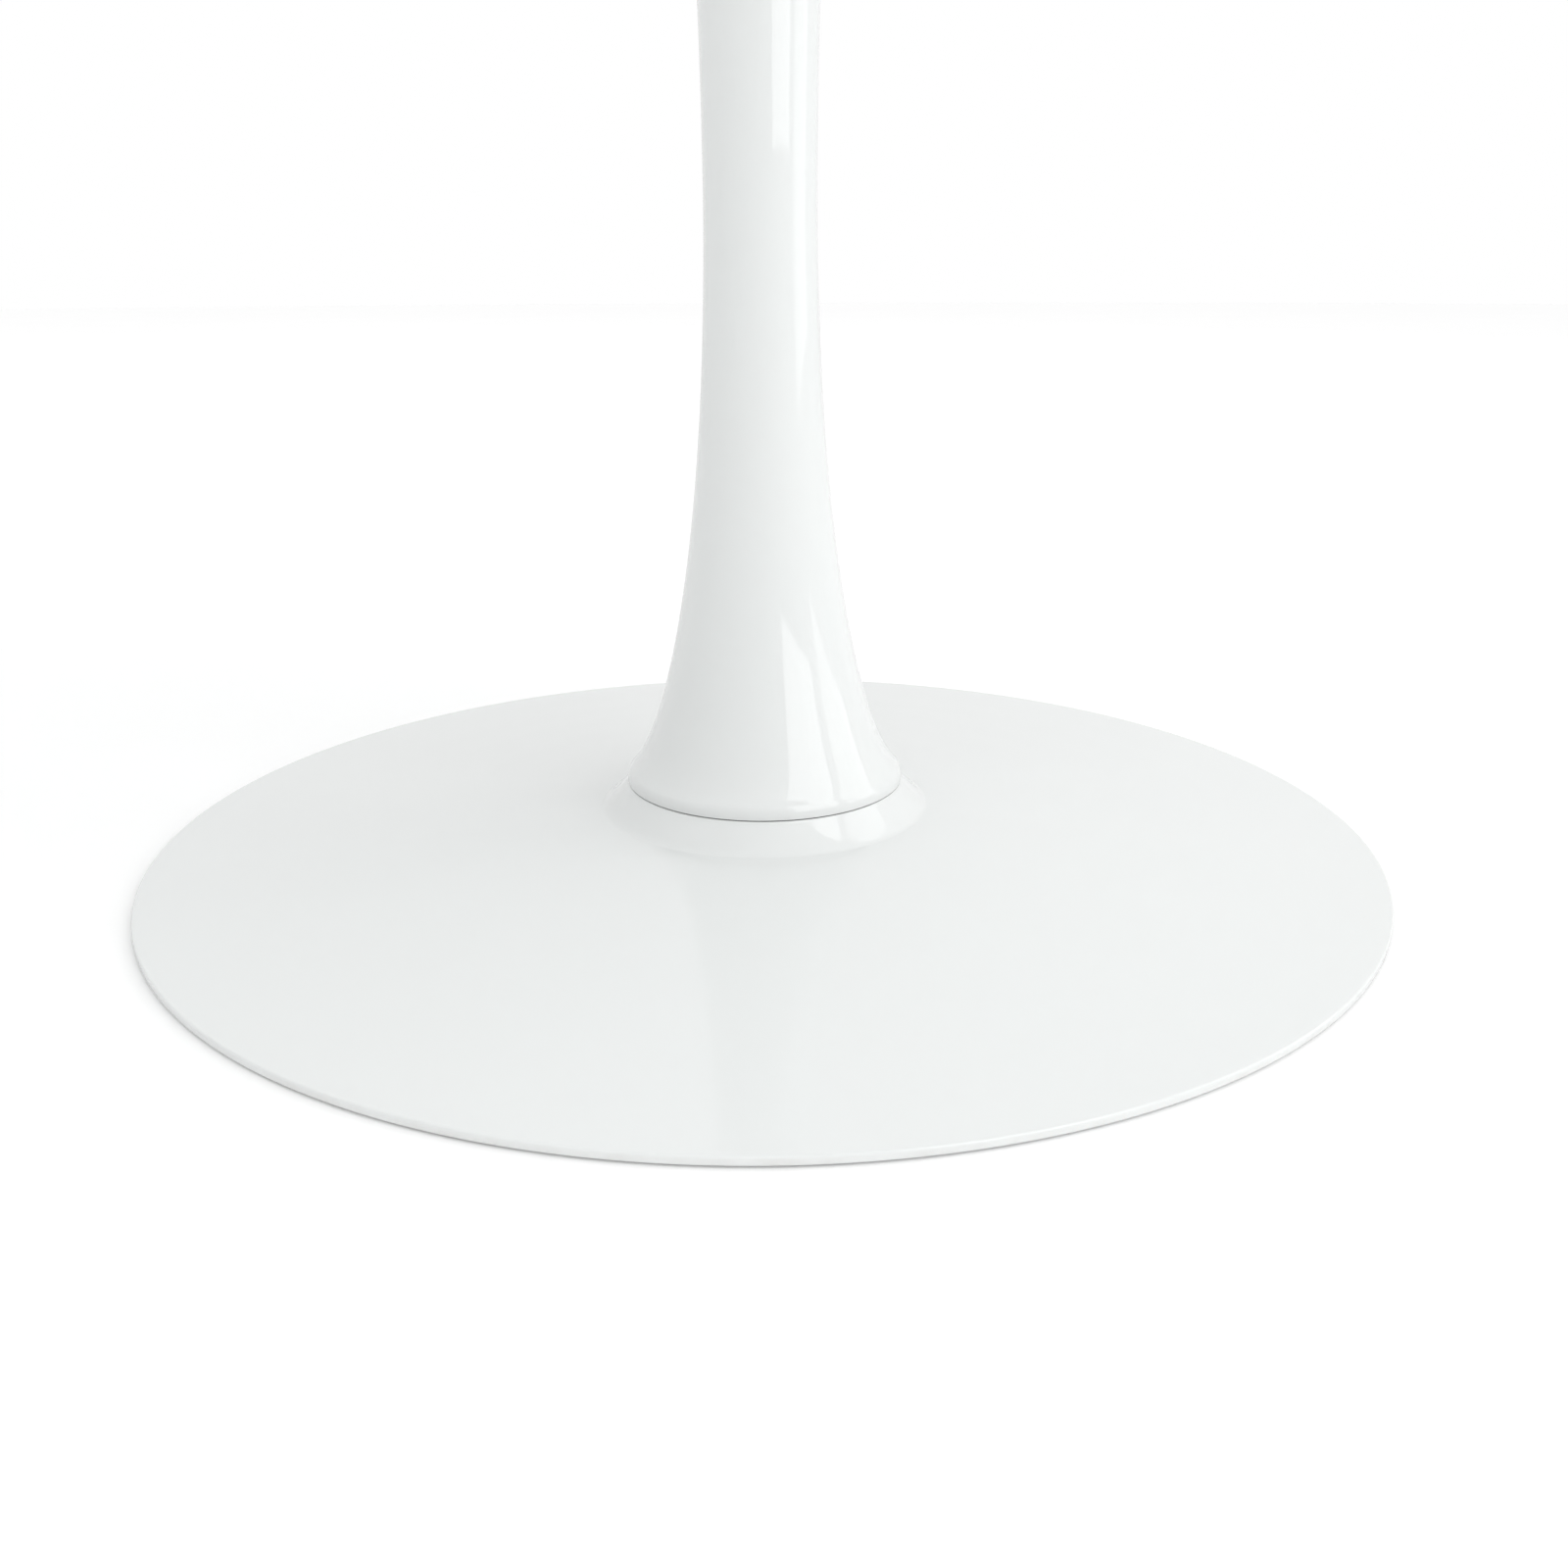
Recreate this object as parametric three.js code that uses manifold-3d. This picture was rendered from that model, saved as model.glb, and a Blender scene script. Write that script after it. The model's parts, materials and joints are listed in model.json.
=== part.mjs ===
// Round pedestal table: a lacquered top on a trumpet-shaped column and a thin round base.
// One steel tie rod runs down the middle and clamps mounting plate, column and base together.
// Units are millimetres, +Z is up, and the floor is the plane z = 0 under the table's middle.

import * as THREE from 'three';
import { mergeVertices } from 'three/addons/utils/BufferGeometryUtils.js';
import Module from 'manifold-3d';

const wasm = await Module();
wasm.setup();

// ---------------------------------------------------------------- driving dimensions

const TABLE_HEIGHT = 740;
const CLEARANCE = 0.4; // gap left round a piece that fits inside another

const TOP = { radius: 525, thickness: 22, edge: 6, flatRadius: 440, round: 1.5 };

const PLATE = { radius: 130, thickness: 4, chamfer: 1, boltCircle: 108, count: 6 };

const GASKET = { thickness: 0.5, setback: 0.7 };

const COLUMN = {
  wall: 2.2,
  footRadius: 68.6,
  flareRadius: 66.9, // where the rounded lip of the foot turns into the lower trumpet
  flareHeight: 40.75,
  waistRadius: 25.6,
  waistHeight: 311,
  headRadius: 72,
  lip: 2, // straight band at each end of the column
};

const BASE = {
  radius: 300,
  wall: 2,
  rimLift: 1, // the rim hangs this far above the floor
  rimEdge: 3.5, // visible height of the rim
  toeRadius: 82.5, // where the shallow disc turns up sharply into the hub
  toeHeight: 21.25,
  seatHeight: 34, // flat ring on the hub that carries the column
  seatHole: 34,
};

const BALLAST = { radius: 248, underside: 2, nutPocketRadius: 29, nutPocketTop: 20 };

const ROD = { radius: 6, hole: 6.5, bottom: 3 };
const ROD_NUT = { acrossFlats: 19, height: 10 };
const ROD_WASHER = { radius: 24, thickness: 3 };
const SPRING_WASHER = { radius: 10.5, thickness: 2.5, split: 2 };

const SCREW = { radius: 3, length: 15, headRadius: 6, headHeight: 3.5, socket: 4, socketDepth: 2 };
const INSERT = { radius: 5, length: 13 };

const STUD = { radius: 3, circle: 140, count: 4, bottom: 2.25 };
const STUD_NUT = { acrossFlats: 10, height: 5, bottom: 2.5 };

const PAD = { radius: 10, circle: 280, height: 2.5, count: 8 };

const SIDES = { top: 64, base: 48, column: 32, plate: 48, fastener: 16, shank: 12 };

// ---------------------------------------------------------------- derived heights

const topUnderside = TABLE_HEIGHT - TOP.thickness;
const plateUnderside = topUnderside - PLATE.thickness;
const columnTop = plateUnderside - GASKET.thickness;
const columnBottom = BASE.seatHeight + GASKET.thickness;

// ---------------------------------------------------------------- materials

function finish(color, roughness, metalness) {
  return new THREE.MeshStandardMaterial({ color, roughness, metalness });
}

const whiteLacquer = finish(0xf2f3f2, 0.12, 0.0);
const whiteTop = finish(0xf3f3f1, 0.18, 0.0);
const zincSteel = finish(0xb9bcc0, 0.35, 1.0);
const blackCasting = finish(0x26272a, 0.65, 0.3);
const blackRubber = finish(0x161616, 0.8, 0.0);
const brass = finish(0xb8964f, 0.35, 1.0);
const greyFelt = finish(0x8b8b88, 0.95, 0.0);

// ---------------------------------------------------------------- outline helpers

const at = (radius, height) => new THREE.Vector2(radius, height);

/** Points along a curve, moved off it towards the left of the direction of travel. */
function sample(curve, steps, inset = 0) {
  const points = [];
  for (let i = 0; i <= steps; i++) {
    const along = i / steps;
    const tangent = curve.getTangent(along);
    const left = at(-tangent.y, tangent.x);
    points.push(curve.getPoint(along).addScaledVector(left, inset));
  }
  return points;
}

/** A rounded corner between two points, pulled towards the sharp corner. */
function corner(from, sharp, to, steps = 2) {
  return new THREE.QuadraticBezierCurve(from, sharp, to).getPoints(steps);
}

// ---------------------------------------------------------------- solid helpers

/** Spins a closed anticlockwise outline of (radius, height) points round the Z axis. */
function turned(outline, sides) {
  const geometry = new THREE.LatheGeometry([...outline, outline[0]], sides);
  return geometry.rotateX(Math.PI / 2);
}

/** A solid disc or rod standing on z = bottom. */
function cylinder(radius, bottom, top, sides) {
  const geometry = new THREE.CylinderGeometry(radius, radius, top - bottom, sides);
  return geometry.rotateX(Math.PI / 2).translate(0, 0, (top + bottom) / 2);
}

/** A flat shape raised from z = bottom to z = top. */
function raised(shape, bottom, top, curveSegments = SIDES.shank) {
  const options = { depth: top - bottom, bevelEnabled: false, curveSegments };
  return new THREE.ExtrudeGeometry(shape, options).translate(0, 0, bottom);
}

function hexagon(acrossFlats) {
  const cornerRadius = acrossFlats / Math.sqrt(3);
  const points = [];
  for (let i = 0; i < 6; i++) {
    const angle = (i * Math.PI) / 3;
    points.push(at(cornerRadius * Math.cos(angle), cornerRadius * Math.sin(angle)));
  }
  return new THREE.Shape(points);
}

function toManifold(geometry) {
  const bare = geometry.clone();
  bare.deleteAttribute('normal');
  bare.deleteAttribute('uv');
  const merged = mergeVertices(bare, 1e-4);
  const vertProperties = new Float32Array(merged.attributes.position.array);
  const triVerts = new Uint32Array(merged.index.array);
  return new wasm.Manifold(new wasm.Mesh({ numProp: 3, vertProperties, triVerts }));
}

function toGeometry(manifold) {
  const mesh = manifold.getMesh();
  const geometry = new THREE.BufferGeometry();
  geometry.setAttribute('position', new THREE.BufferAttribute(mesh.vertProperties, 3));
  geometry.setIndex(new THREE.BufferAttribute(mesh.triVerts, 1));
  geometry.computeVertexNormals();
  return geometry;
}

/** Cuts every tool out of a body. */
function cut(body, tools) {
  let solid = toManifold(body);
  for (const tool of tools) {
    solid = solid.subtract(toManifold(tool));
  }
  return toGeometry(solid);
}

/** Evenly spaced places round a circle, the first on +X. */
function ringOf(count, radius) {
  const places = [];
  for (let i = 0; i < count; i++) {
    const angle = (i * 2 * Math.PI) / count;
    places.push({ x: radius * Math.cos(angle), y: radius * Math.sin(angle), angle });
  }
  return places;
}

const table = new THREE.Group();

function addPiece(name, geometry, material) {
  const mesh = new THREE.Mesh(geometry, material);
  mesh.name = name;
  table.add(mesh);
}

/** Adds numbered copies of one piece round a circle. */
function addRing(name, geometry, material, count, radius) {
  ringOf(count, radius).forEach((place, index) => {
    const copy = geometry.clone().translate(place.x, place.y, 0);
    addPiece(`${name}_${index + 1}`, copy, material);
  });
}

// ---------------------------------------------------------------- base

/** The disc's upper surface, from the rim inwards to the toe of the hub. */
function discCurve() {
  const rimTop = BASE.rimLift + BASE.rimEdge;
  return new THREE.QuadraticBezierCurve(
    at(BASE.radius - 1, rimTop),
    at(208, 7.6),
    at(BASE.toeRadius, BASE.toeHeight),
  );
}

/** The hub, from its toe up to the shoulder just under the seat. */
function hubCurve() {
  return new THREE.CubicBezierCurve(
    at(BASE.toeRadius, BASE.toeHeight),
    at(80.4, 21.5),
    at(78.4, 22.6),
    at(COLUMN.footRadius + 0.25, BASE.seatHeight - 0.5),
  );
}

/** One spun sheet: rim, shallow disc, hub and the flat seat that the column stands on. */
function baseShell() {
  const rim = BASE.radius;
  const low = BASE.rimLift;
  const rimTop = low + BASE.rimEdge;
  const shoulder = COLUMN.footRadius - 0.5;
  const outside = [
    at(rim - 0.4, low),
    at(rim, low + 0.4),
    ...corner(at(rim, rimTop - 1), at(rim, rimTop), at(rim - 1, rimTop)),
    ...sample(discCurve(), 5).slice(1),
    ...sample(hubCurve(), 6).slice(1),
    at(shoulder, BASE.seatHeight),
    at(BASE.seatHole, BASE.seatHeight),
  ];
  const inside = [
    ...sample(discCurve(), 5, BASE.wall).slice(1),
    ...sample(hubCurve(), 6, BASE.wall).slice(1, -1),
    at(shoulder - BASE.wall / 2, BASE.seatHeight - BASE.wall),
    at(BASE.seatHole, BASE.seatHeight - BASE.wall),
  ].reverse();
  const rimInside = [at(rim - BASE.wall, rimTop - BASE.wall), at(rim - BASE.wall, low)];
  return turned([...outside, ...inside, ...rimInside], SIDES.base);
}

/** The casting that fills the base: it follows the shell and gives the table its weight. */
function ballastCasting() {
  const inset = BASE.wall + CLEARANCE;
  const bossTop = BASE.seatHeight - BASE.wall;
  const follows = [...sample(discCurve(), 5, inset), ...sample(hubCurve(), 6, inset).slice(1)]
    .filter((point) => point.x < BALLAST.radius - 6 && point.y < bossTop - 2);
  const outline = [
    at(BALLAST.nutPocketRadius, BALLAST.underside),
    at(BALLAST.radius - 1, BALLAST.underside),
    at(BALLAST.radius, BALLAST.underside + 1),
    at(BALLAST.radius - 0.5, BALLAST.underside + 1.5),
    ...follows,
    at(60, bossTop),
    at(ROD.hole, bossTop),
    at(ROD.hole, BALLAST.nutPocketTop),
    at(BALLAST.nutPocketRadius, BALLAST.nutPocketTop),
  ];
  const body = turned(outline, SIDES.base);
  const tools = [];
  for (const { x, y } of ringOf(STUD.count, STUD.circle)) {
    const through = cylinder(STUD.radius + CLEARANCE, 0, bossTop, SIDES.shank);
    const nutPocket = cylinder(9, 0, STUD_NUT.bottom + STUD_NUT.height, SIDES.fastener);
    tools.push(through.translate(x, y, 0));
    tools.push(nutPocket.translate(x, y, 0));
  }
  return cut(body, tools);
}

/** Height of the shell's inner face over a given radius of the flat disc. */
function shellUnderside(radius) {
  const line = sample(discCurve(), 40, BASE.wall);
  const beyond = line.findIndex((point) => point.x < radius);
  return line[beyond - 1].y;
}

function threadedStud() {
  const top = shellUnderside(STUD.circle + STUD.radius) - CLEARANCE;
  return cylinder(STUD.radius, STUD.bottom, top, SIDES.shank);
}

function hexNut(size, boreRadius, bottom) {
  const shape = hexagon(size.acrossFlats);
  shape.holes.push(new THREE.Path().absarc(0, 0, boreRadius, 0, 2 * Math.PI, true));
  return raised(shape, bottom, bottom + size.height, SIDES.shank);
}

function floorPad() {
  return cylinder(PAD.radius, 0, PAD.height, SIDES.fastener);
}

function addBase() {
  addPiece('base_shell', baseShell(), whiteLacquer);
  addPiece('ballast_casting', ballastCasting(), blackCasting);
  const studNut = hexNut(STUD_NUT, STUD.radius + 0.3, STUD_NUT.bottom);
  addRing('base_stud', threadedStud(), zincSteel, STUD.count, STUD.circle);
  addRing('base_stud_nut', studNut, zincSteel, STUD.count, STUD.circle);
  addRing('floor_pad', floorPad(), greyFelt, PAD.count, PAD.circle);
}

// ---------------------------------------------------------------- column

/** The lower trumpet, from the foot lip up to the waist. */
function footFlare() {
  return new THREE.CubicBezierCurve(
    at(COLUMN.flareRadius, COLUMN.flareHeight),
    at(42.5, 66.25),
    at(COLUMN.waistRadius, 186),
    at(COLUMN.waistRadius, COLUMN.waistHeight),
  );
}

/** The upper trumpet, from the waist up to the head lip. */
function headFlare() {
  return new THREE.CubicBezierCurve(
    at(COLUMN.waistRadius, COLUMN.waistHeight),
    at(COLUMN.waistRadius, 520),
    at(48, 675),
    at(COLUMN.headRadius - 1.2, columnTop - 5.25),
  );
}

/** One tube spun to a flare at both ends. */
function column() {
  const foot = COLUMN.footRadius;
  const head = COLUMN.headRadius;
  const inner = COLUMN.wall;
  const footLip = columnBottom + COLUMN.lip;
  const headLip = columnTop - COLUMN.lip;
  const outside = [
    at(foot - 0.5, columnBottom),
    at(foot, columnBottom + 0.5),
    ...corner(at(foot, footLip), at(foot, COLUMN.flareHeight - 1.75), footFlare().getPoint(0)),
    ...sample(footFlare(), 9).slice(1),
    ...sample(headFlare(), 8).slice(1),
    at(head, headLip),
    at(head, columnTop - 0.5),
    at(head - 0.5, columnTop),
  ];
  const inside = [
    at(foot - inner, columnBottom),
    at(foot - inner - 0.3, footLip),
    ...sample(footFlare(), 9, inner),
    ...sample(headFlare(), 8, inner).slice(1),
    at(head - inner - 0.3, headLip),
    at(head - inner, columnTop),
  ].reverse();
  return turned([...outside, ...inside], SIDES.column);
}

/** A disc welded into the foot. Its spigot drops through the seat and centres the column. */
function columnFootDisc() {
  const spigot = BASE.seatHole - CLEARANCE;
  const weldRadius = COLUMN.footRadius - 2 * COLUMN.wall;
  return turned(
    [
      at(ROD.hole, BASE.seatHeight - 1.75),
      at(spigot - 0.5, BASE.seatHeight - 1.75),
      at(spigot, BASE.seatHeight - 1.25),
      at(spigot, columnBottom),
      at(weldRadius, columnBottom),
      at(weldRadius - 3, columnBottom + 6),
      at(ROD.hole, columnBottom + 6),
    ],
    SIDES.column,
  );
}

/** A disc welded into the head, open in the middle for the captive nut. */
function columnHeadDisc() {
  return turned(
    [
      at(14, columnTop - 6),
      at(64, columnTop - 6),
      at(67, columnTop),
      at(14, columnTop),
    ],
    SIDES.column,
  );
}

function flatRing(innerRadius, outerRadius, bottom, top, sides) {
  const outline = [
    at(innerRadius, bottom),
    at(outerRadius, bottom),
    at(outerRadius, top),
    at(innerRadius, top),
  ];
  return turned(outline, sides);
}

function addColumn() {
  const footEdge = COLUMN.footRadius - GASKET.setback;
  const headEdge = COLUMN.headRadius - GASKET.setback;
  const footGasket = flatRing(36, footEdge, BASE.seatHeight, columnBottom, SIDES.column);
  const headGasket = flatRing(36, headEdge, columnTop, plateUnderside, SIDES.column);
  addPiece('column', column(), whiteLacquer);
  addPiece('column_foot_disc', columnFootDisc(), zincSteel);
  addPiece('column_head_disc', columnHeadDisc(), zincSteel);
  addPiece('foot_gasket', footGasket, blackRubber);
  addPiece('head_gasket', headGasket, blackRubber);
}

// ---------------------------------------------------------------- tie rod

/** A ring with a narrow slit through it, which springs flat under the nut. */
function springWasher(bottom) {
  const outer = SPRING_WASHER.radius;
  const inner = ROD.hole;
  const half = SPRING_WASHER.split / 2;
  const outerStart = Math.asin(half / outer);
  const innerStart = Math.asin(half / inner);
  const shape = new THREE.Shape();
  shape.absarc(0, 0, outer, outerStart, 2 * Math.PI - outerStart, false);
  shape.absarc(0, 0, inner, 2 * Math.PI - innerStart, innerStart, true);
  return raised(shape, bottom, bottom + SPRING_WASHER.thickness, SIDES.fastener);
}

function addTieRod() {
  const rodTop = topUnderside - 2;
  const rod = cylinder(ROD.radius, ROD.bottom, rodTop, SIDES.fastener);
  const captiveNut = hexNut(ROD_NUT, ROD.hole, plateUnderside - ROD_NUT.height);
  const washerBottom = BALLAST.nutPocketTop - ROD_WASHER.thickness;
  const springBottom = washerBottom - SPRING_WASHER.thickness;
  const nut = hexNut(ROD_NUT, ROD.hole, springBottom - ROD_NUT.height);
  const washer = flatRing(
    ROD.hole,
    ROD_WASHER.radius,
    washerBottom,
    BALLAST.nutPocketTop,
    SIDES.fastener,
  );
  addPiece('tie_rod', rod, zincSteel);
  addPiece('tie_rod_captive_nut', captiveNut, zincSteel);
  addPiece('tie_rod_washer', washer, zincSteel);
  addPiece('tie_rod_spring_washer', springWasher(springBottom), zincSteel);
  addPiece('tie_rod_nut', nut, zincSteel);
}

// ---------------------------------------------------------------- top

/** The round panel: a thin upright edge over a long bevel, with blind holes for the inserts. */
function tabletop() {
  const edgeLow = TABLE_HEIGHT - TOP.edge;
  const outline = [
    at(0, topUnderside),
    at(TOP.flatRadius, topUnderside),
    at(TOP.radius - 1, edgeLow),
    at(TOP.radius, edgeLow + 1),
    ...corner(
      at(TOP.radius, TABLE_HEIGHT - TOP.round),
      at(TOP.radius, TABLE_HEIGHT),
      at(TOP.radius - TOP.round, TABLE_HEIGHT),
    ),
    at(0, TABLE_HEIGHT),
  ];
  const body = new THREE.LatheGeometry(outline, SIDES.top).rotateX(Math.PI / 2);
  const holeTop = topUnderside + INSERT.length + 3;
  const holes = ringOf(PLATE.count, PLATE.boltCircle).map(({ x, y }) => {
    const hole = cylinder(INSERT.radius + 0.3, topUnderside - 1, holeTop, SIDES.fastener);
    return hole.translate(x, y, 0);
  });
  return cut(body, holes);
}

/** The steel disc screwed under the top. The tie rod pulls it down onto the column. */
function mountingPlate() {
  const edge = PLATE.radius;
  const body = turned(
    [
      at(ROD.hole, plateUnderside),
      at(edge - PLATE.chamfer, plateUnderside),
      at(edge, plateUnderside + PLATE.chamfer),
      at(edge, topUnderside - PLATE.chamfer),
      at(edge - PLATE.chamfer, topUnderside),
      at(ROD.hole, topUnderside),
    ],
    SIDES.plate,
  );
  const holes = ringOf(PLATE.count, PLATE.boltCircle).map(({ x, y }) => {
    const hole = cylinder(SCREW.radius + CLEARANCE, plateUnderside - 1, topUnderside + 1, SIDES.shank);
    return hole.translate(x, y, 0);
  });
  return cut(body, holes);
}

/** A button-head machine screw with a hexagon socket in its head, driven in from below. */
function topScrew() {
  const headBottom = plateUnderside - SCREW.headHeight;
  const outline = [
    at(0, headBottom),
    at(SCREW.headRadius - 2, headBottom),
    at(SCREW.headRadius, plateUnderside - 1),
    at(SCREW.headRadius, plateUnderside),
    at(SCREW.radius, plateUnderside),
    at(SCREW.radius, plateUnderside + SCREW.length),
    at(0, plateUnderside + SCREW.length),
  ];
  const body = new THREE.LatheGeometry(outline, SIDES.fastener).rotateX(Math.PI / 2);
  const socketTop = headBottom + SCREW.socketDepth;
  return cut(body, [raised(hexagon(SCREW.socket), headBottom - 1, socketTop)]);
}

/** A sleeve threaded inside and out, sunk into the underside of the panel. */
function threadedInsert() {
  const bottom = topUnderside + 0.5;
  const bore = SCREW.radius + 0.3;
  return flatRing(bore, INSERT.radius, bottom, bottom + INSERT.length, SIDES.fastener);
}

function addTop() {
  addPiece('tabletop', tabletop(), whiteTop);
  addPiece('mounting_plate', mountingPlate(), whiteLacquer);
  addRing('top_screw', topScrew(), zincSteel, PLATE.count, PLATE.boltCircle);
  addRing('threaded_insert', threadedInsert(), brass, PLATE.count, PLATE.boltCircle);
}

addBase();
addColumn();
addTieRod();
addTop();

export default table;
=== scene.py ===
"""Round pedestal table: fine surfaces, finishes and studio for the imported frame. Lengths are metres."""

import json
import math

import bpy
from mathutils import Matrix, Vector, noise


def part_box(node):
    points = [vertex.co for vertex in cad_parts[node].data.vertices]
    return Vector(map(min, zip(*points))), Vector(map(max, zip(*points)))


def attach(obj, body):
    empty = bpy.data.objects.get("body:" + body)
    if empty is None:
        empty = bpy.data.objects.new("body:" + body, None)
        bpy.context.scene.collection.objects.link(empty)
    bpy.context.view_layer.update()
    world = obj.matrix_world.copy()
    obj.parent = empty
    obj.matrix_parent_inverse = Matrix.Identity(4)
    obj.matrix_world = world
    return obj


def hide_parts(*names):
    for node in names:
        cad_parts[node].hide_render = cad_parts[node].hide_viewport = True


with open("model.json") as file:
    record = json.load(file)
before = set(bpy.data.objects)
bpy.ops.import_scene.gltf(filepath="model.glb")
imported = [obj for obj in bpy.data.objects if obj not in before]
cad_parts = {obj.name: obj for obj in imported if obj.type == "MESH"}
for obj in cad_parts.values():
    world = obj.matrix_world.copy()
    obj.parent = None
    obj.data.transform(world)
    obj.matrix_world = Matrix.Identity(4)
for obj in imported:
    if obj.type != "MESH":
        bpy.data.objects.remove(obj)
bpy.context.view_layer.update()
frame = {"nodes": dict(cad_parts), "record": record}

MM = 0.001

# ---------------------------------------------------------------- sizes read from the frame

shell_low, shell_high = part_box("base_shell")
column_low, column_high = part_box("column")
top_low, top_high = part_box("tabletop")
plate_low, plate_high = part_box("mounting_plate")
ballast_low, ballast_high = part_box("ballast_casting")

BASE_RADIUS = shell_high.x
RIM_BOTTOM = shell_low.z
SEAT = shell_high.z
COLUMN_FOOT = column_low.z
COLUMN_HEAD = column_high.z
HEAD_RADIUS = column_high.x
TOP_RADIUS = top_high.x
TOP_UNDERSIDE = top_low.z
TOP_SURFACE = top_high.z
PLATE_UNDERSIDE = plate_low.z
PLATE_RADIUS = plate_high.x

# ---------------------------------------------------------------- shape of the pieces

SHELL_WALL = 2 * MM
RIM_EDGE = 3.5 * MM
RIM_ROUND = 1.0 * MM
SEAT_HOLE = 34 * MM
TOE_RADIUS = 82.5 * MM
TOE_HEIGHT = 21.25 * MM

COLUMN_WALL = 2.2 * MM
FOOT_LIP = 0.75 * MM
HEAD_LIP = 2 * MM
FOOT_RADIUS = 68.6 * MM
FLARE_RADIUS = 66.9 * MM
FLARE_HEIGHT = 40.75 * MM
WAIST_RADIUS = 25.6 * MM
WAIST_HEIGHT = 311 * MM

TOP_EDGE = 6 * MM
TOP_FLAT_RADIUS = 440 * MM
TOP_ROUND = 1.5 * MM

ROD_HOLE = 6.5 * MM  # through the plate and the ballast, and in the rod's nuts and washers
NUT_POCKET_RADIUS = 29 * MM
NUT_POCKET_TOP = 20 * MM

STUD_COUNT = 4
PAD_COUNT = 8
TOP_SCREW_COUNT = 6

AXIS = 1e-6  # a radius below this is a point on the axis
ROUND_STEPS = 6

# ---------------------------------------------------------------- outlines


def bezier(controls, steps):
    """Points along a Bezier curve of any degree, both ends included."""
    line = []
    for i in range(steps + 1):
        along = i / steps
        points = [Vector(p) for p in controls]
        while len(points) > 1:
            points = [a.lerp(b, along) for a, b in zip(points, points[1:])]
        line.append((points[0].x, points[0].y))
    return line


def corner(start, sharp, end, steps=ROUND_STEPS):
    """A rounded corner between two points."""
    return bezier([start, sharp, end], steps)


def moved_left(line, distance):
    """The line moved sideways, towards the left of its direction of travel."""
    moved = []
    last = len(line) - 1
    for i, (x, y) in enumerate(line):
        before = line[max(i - 1, 0)]
        after = line[min(i + 1, last)]
        ahead = Vector((after[0] - before[0], after[1] - before[1])).normalized()
        moved.append((x - ahead.y * distance, y + ahead.x * distance))
    return moved


def disc_line(steps):
    """The base disc's upper surface, from the rim in to the toe of the hub."""
    rim_top = RIM_BOTTOM + RIM_EDGE
    start = (BASE_RADIUS - RIM_ROUND, rim_top)
    return bezier([start, (208 * MM, 7.6 * MM), (TOE_RADIUS, TOE_HEIGHT)], steps)


def hub_line(steps):
    """The hub, from its toe up to the shoulder under the seat."""
    shoulder = (FOOT_RADIUS + 0.25 * MM, SEAT - 0.5 * MM)
    inner = [(80.4 * MM, 21.5 * MM), (78.4 * MM, 22.6 * MM)]
    return bezier([(TOE_RADIUS, TOE_HEIGHT), *inner, shoulder], steps)


def foot_flare(steps):
    """The column's lower trumpet, from the foot lip up to the waist."""
    start = (FLARE_RADIUS, FLARE_HEIGHT)
    inner = [(42.5 * MM, 66.25 * MM), (WAIST_RADIUS, 186 * MM)]
    return bezier([start, *inner, (WAIST_RADIUS, WAIST_HEIGHT)], steps)


def head_flare(steps):
    """The column's upper trumpet, from the waist up to the head lip."""
    end = (HEAD_RADIUS - 1.2 * MM, COLUMN_HEAD - 5.25 * MM)
    inner = [(WAIST_RADIUS, 520 * MM), (48 * MM, 675 * MM)]
    return bezier([(WAIST_RADIUS, WAIST_HEIGHT), *inner, end], steps)


# ---------------------------------------------------------------- meshes


def new_mesh(name, points, faces):
    """An object made from points and faces, linked to the scene."""
    mesh = bpy.data.meshes.new(name)
    mesh.from_pydata(points, [], faces)
    mesh.update()
    piece = bpy.data.objects.new(name, mesh)
    bpy.context.scene.collection.objects.link(piece)
    return piece


def loft(name, rings, closed=False):
    """Joins rings of equal length, one after another. A ring may be a single point.

    A closed loft joins its last ring to its first; an open one is left open unless its end
    rings are single points.
    """
    points = []
    rows = []
    sides = max(len(ring) for ring in rings)
    for ring in rings:
        start = len(points)
        points.extend(ring)
        single = len(ring) == 1
        rows.append([start] * sides if single else list(range(start, start + sides)))
    after = rows[1:] + rows[:1] if closed else rows[1:]
    faces = []
    for low, high in zip(rows, after):
        for i in range(sides):
            j = (i + 1) % sides
            face = list(dict.fromkeys([low[i], low[j], high[j], high[i]]))
            if len(face) > 2:
                faces.append(face)
    return new_mesh(name, points, faces)


def ring_at(radius, height, sides, centre=(0, 0)):
    """A ring of points. The radius is a number or a function of the angle."""
    points = []
    for i in range(sides):
        angle = 2 * math.pi * i / sides
        reach = radius(angle) if callable(radius) else radius
        level = height(angle) if callable(height) else height
        x = centre[0] + reach * math.cos(angle)
        y = centre[1] + reach * math.sin(angle)
        points.append((x, y, level))
    return points


def turned(name, outline, sides, centre=(0, 0)):
    """Spins an anticlockwise outline of (radius, height) points round a vertical axis."""
    rings = []
    for radius, height in outline:
        on_axis = not callable(radius) and radius < AXIS
        if on_axis:
            rings.append([(centre[0], centre[1], height)])
        else:
            rings.append(ring_at(radius, height, sides, centre))
    open_ended = len(rings[0]) == 1 and len(rings[-1]) == 1
    return loft(name, rings, closed=not open_ended)


def drill(piece, tools):
    """Cuts the tool objects out of a piece and removes them."""
    for tool in tools:
        cut = piece.modifiers.new("cut", "BOOLEAN")
        cut.operation = "DIFFERENCE"
        cut.solver = "EXACT"
        cut.object = tool
    evaluated = piece.evaluated_get(bpy.context.evaluated_depsgraph_get())
    mesh = bpy.data.meshes.new_from_object(evaluated)
    piece.modifiers.clear()
    piece.data = mesh
    for tool in tools:
        bpy.data.objects.remove(tool)


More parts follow.
